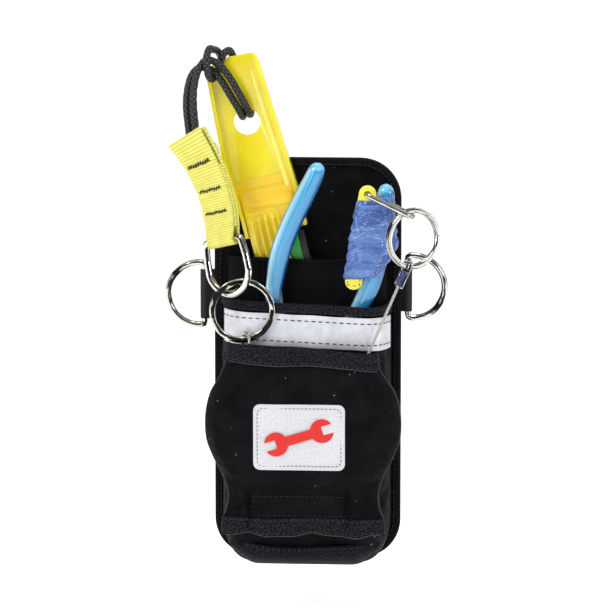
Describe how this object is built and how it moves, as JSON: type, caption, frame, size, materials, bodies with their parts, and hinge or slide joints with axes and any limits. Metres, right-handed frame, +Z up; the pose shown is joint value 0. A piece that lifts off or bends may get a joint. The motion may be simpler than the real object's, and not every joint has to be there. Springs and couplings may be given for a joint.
{
  "type": "electrician tool pouch",
  "caption": "Padded belt pouch with spring tool retractors under a neoprene cover, holding a tethered cable knife and tethered pliers",
  "frame": {"origin": "middle of the belt tunnel, on the flat rear face of the back panel", "axes": "+Z up along the hanging pouch, +X to the right seen from the front, the front faces -Y"},
  "size_m": [0.2145, 0.0809, 0.3937],
  "materials": {
    "neoprene": "matte laminated neoprene",
    "twill": "twill tape",
    "webbing": "woven webbing",
    "reflective": "retroreflective tape",
    "label": "woven label with a silver ground",
    "emblem": "printed film",
    "black_plastic": "moulded nylon",
    "chrome": "polished plate",
    "steel": "ground steel",
    "knife_yellow": "moulded, semi-gloss",
    "knife_green": "moulded, translucent",
    "grip_blue": "dipped vinyl",
    "tape_blue": "self-fusing silicone tape",
    "swivel_blue": "moulded",
    "tether_yellow": "ribbed nylon webbing",
    "strap_yellow": "coated strap",
    "cord_black": "braided nylon",
    "cord_white": "braided cord",
    "tag": "blank printed tape"
  },
  "bodies": {
    "pouch": {"back_panel": "neoprene", "edge_binding": "twill", "belt_loop": "webbing", "ring_strap": "webbing", "left_ring_tab": "webbing", "right_ring_tab": "webbing", "rear_pocket": "neoprene", "front_pocket": "neoprene", "mouth_binding": "twill", "reflective_band": "reflective", "pocket_loop_patch": "twill", "retractor_plate": "black_plastic", "left_case_back": "black_plastic", "left_case_front": "black_plastic", "left_axle": "steel", "left_mainspring": "steel", "left_cord_guide": "chrome", "right_case_back": "black_plastic", "right_case_front": "black_plastic", "right_axle": "steel", "right_mainspring": "steel", "right_cord_guide": "chrome", "left_lanyard_cord": "cord_white", "right_lanyard_cord": "cord_white"},
    "left_ring": {"left_d_ring": "chrome"},
    "right_ring": {"right_d_ring": "chrome"},
    "cover": {"retractor_cover": "neoprene", "cover_top_tape": "twill", "cover_bottom_tape": "twill", "cover_hook_patch": "twill", "label_patch": "label", "label_emblem": "emblem"},
    "left_reel": {"left_spool": "black_plastic", "left_cord_winding": "cord_white"},
    "right_reel": {"right_spool": "black_plastic", "right_cord_winding": "cord_white"},
    "left_swivel": {"left_swivel_bail": "chrome", "left_swivel_barrel": "swivel_blue"},
    "right_swivel": {"right_swivel_bail": "chrome", "right_swivel_barrel": "swivel_blue"},
    "knife": {"knife_body": "knife_yellow", "knife_grip": "knife_yellow", "knife_core": "black_plastic", "knife_cord": "cord_black", "tether_webbing": "tether_yellow", "tether_tag": "tag"},
    "blade": {"blade_carrier": "knife_green", "carrier_screw": "steel", "knife_blade": "steel"},
    "tether_ring": {"tether_d_ring": "chrome"},
    "left_link": {"left_split_ring": "chrome"},
    "pliers": {"pliers_right_lever": "steel", "pliers_right_grip": "grip_blue", "pliers_rivet": "steel", "pliers_tether_strap": "strap_yellow", "pliers_tape": "tape_blue"},
    "pliers_lever": {"pliers_left_lever": "steel", "pliers_left_grip": "grip_blue"},
    "strap_ring": {"pliers_tether_ring": "chrome"},
    "right_link": {"right_split_ring": "chrome"}
  },
  "joints": [
    {"name": "left_ring_swing", "type": "hinge", "parent": "pouch", "child": "left_ring", "pos_m": [-0.079, 0.00305, -0.06], "axis": [0, 0, 1], "range_deg": [-85, 85]},
    {"name": "right_ring_swing", "type": "hinge", "parent": "pouch", "child": "right_ring", "pos_m": [0.0755, 0.00305, -0.053], "axis": [0, 0, 1], "range_deg": [-85, 85]},
    {"name": "cover_open", "type": "hinge", "parent": "pouch", "child": "cover", "pos_m": [0, -0.0642, -0.0918], "axis": [-1, 0, 0], "range_deg": [0, 65]},
    {"name": "knife_lift", "type": "slide", "parent": "pouch", "child": "knife", "axis": [-0.2419, 0, 0.9703], "range_m": [0, 0.06]},
    {"name": "left_cord_pull", "type": "slide", "parent": "pouch", "child": "left_swivel", "axis": [-0.2419, 0, 0.9703], "range_m": [0, 0.06], "deforming": ["left_lanyard_cord"]},
    {"name": "left_reel_turn", "type": "hinge", "parent": "pouch", "child": "left_reel", "pos_m": [-0.0315, -0.055, -0.15], "axis": [0, 1, 0], "range_deg": [0, 299.9]},
    {"name": "blade_slide", "type": "slide", "parent": "knife", "child": "blade", "axis": [0.2419, 0, -0.9703], "range_m": [0, 0.02]},
    {"name": "tether_ring_swing", "type": "hinge", "parent": "knife", "child": "tether_ring", "pos_m": [-0.0598, -0.057, -0.01], "axis": [0.8044, -0.5426, 0.2419], "range_deg": [0, 8]},
    {"name": "left_link_swing", "type": "hinge", "parent": "tether_ring", "child": "left_link", "pos_m": [-0.0516, -0.0615, -0.044], "axis": [0.8044, -0.5426, 0.2419], "range_deg": [-16, 0]},
    {"name": "pliers_lift", "type": "slide", "parent": "pouch", "child": "pliers", "axis": [0.397, 0, 0.9178], "range_m": [0, 0.1]},
    {"name": "right_cord_pull", "type": "slide", "parent": "pouch", "child": "right_swivel", "axis": [0.397, 0, 0.9178], "range_m": [0, 0.1], "deforming": ["right_lanyard_cord"]},
    {"name": "right_reel_turn", "type": "hinge", "parent": "pouch", "child": "right_reel", "pos_m": [0.0315, -0.055, -0.15], "axis": [0, -1, 0], "range_deg": [0, 499.2]},
    {"name": "pliers_open", "type": "hinge", "parent": "pliers", "child": "pliers_lever", "pos_m": [0, -0.0325, -0.128], "axis": [0, -1, 0], "range_deg": [0, 15]},
    {"name": "strap_ring_swing", "type": "hinge", "parent": "pliers", "child": "strap_ring", "pos_m": [0.0476, -0.0476, 0.024], "axis": [0, 1, 0], "range_deg": [0, 4]},
    {"name": "right_link_swing", "type": "hinge", "parent": "strap_ring", "child": "right_link", "pos_m": [0.0768, -0.0476, 0.0105], "axis": [0, 1, 0], "range_deg": [-7, 0]}
  ],
  "couplings": [
    {"joint": "left_cord_pull", "follows": "knife_lift", "ratio": 1},
    {"joint": "left_reel_turn", "follows": "knife_lift", "rad_per_m": 86.957},
    {"joint": "right_cord_pull", "follows": "pliers_lift", "ratio": 1},
    {"joint": "right_reel_turn", "follows": "pliers_lift", "rad_per_m": 86.957},
    {"joint": "left_link_swing", "follows": "tether_ring_swing", "ratio": -1.9},
    {"joint": "right_link_swing", "follows": "strap_ring_swing", "ratio": -1.6}
  ]
}
